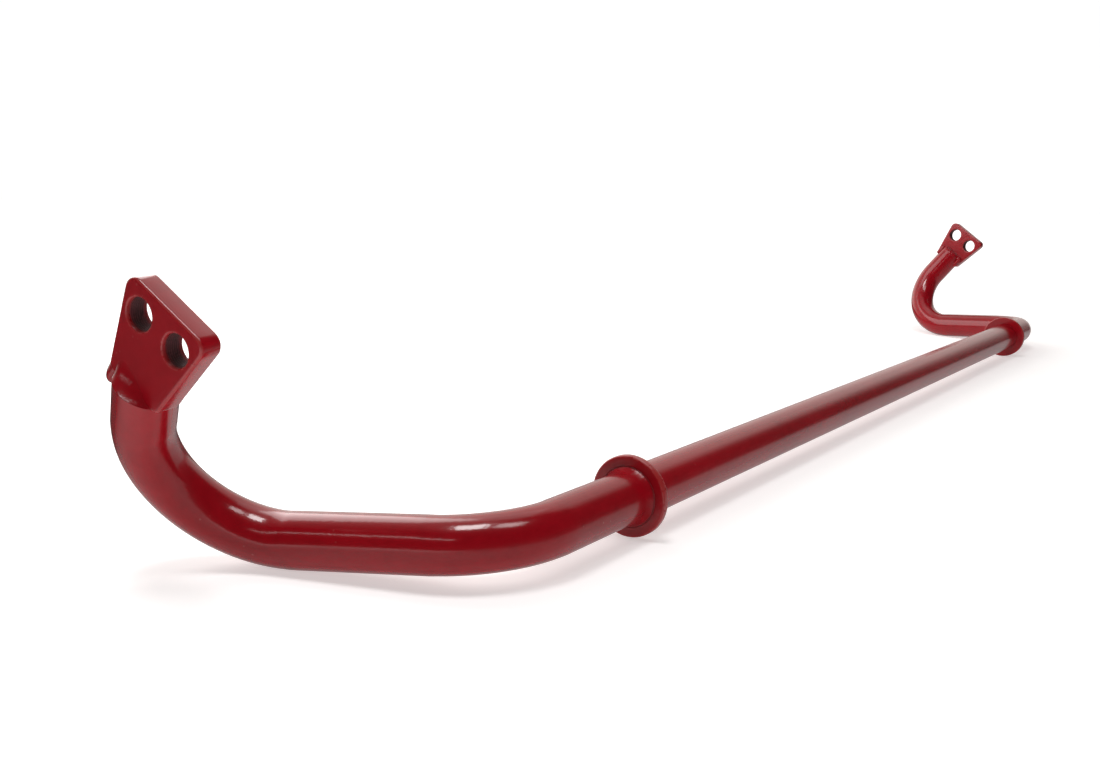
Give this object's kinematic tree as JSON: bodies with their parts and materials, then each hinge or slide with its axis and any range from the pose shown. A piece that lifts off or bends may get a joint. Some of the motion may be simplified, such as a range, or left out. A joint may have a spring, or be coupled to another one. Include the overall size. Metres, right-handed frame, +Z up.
{
  "type": "sway bar",
  "caption": "Round spring-steel bar bent to a U, with a stop collar near each shoulder and a drilled link plate on each arm; it twists to resist body roll.",
  "frame": {"origin": "centre of the ground contact: on the plane that the part lies on, midway between the arms and midway front to back", "axes": "+X along the straight run towards the right arm, +Y the way the arms reach, +Z up from the ground"},
  "size_m": [1.0702, 0.154, 0.1219],
  "materials": {
    "bar_paint": "gloss red powder coat over a round steel bar, with a light orange peel",
    "collar_paint": "gloss red powder coat over a turned steel collar",
    "plate_paint": "gloss red powder coat over cut steel plate, bare drilled steel inside the link holes",
    "weld_paint": "gloss red powder coat over rippled weld bead"
  },
  "bodies": {
    "left_half": {"bar_left": "bar_paint", "collar_left": "collar_paint", "collar_weld_left": "weld_paint", "end_plate_left": "plate_paint", "plate_weld_inner_left": "weld_paint", "plate_weld_outer_left": "weld_paint"},
    "right_half": {"bar_right": "bar_paint", "collar_right": "collar_paint", "collar_weld_right": "weld_paint", "end_plate_right": "plate_paint", "plate_weld_inner_right": "weld_paint", "plate_weld_outer_right": "weld_paint"}
  },
  "joints": [
    {"name": "bar_twist", "type": "hinge", "parent": "left_half", "child": "right_half", "pos_m": [0, -0.05826, 0.01875], "axis": [1, 0, 0], "range_deg": [-15, 15], "stiffness_Nm_per_rad": 3150}
  ]
}
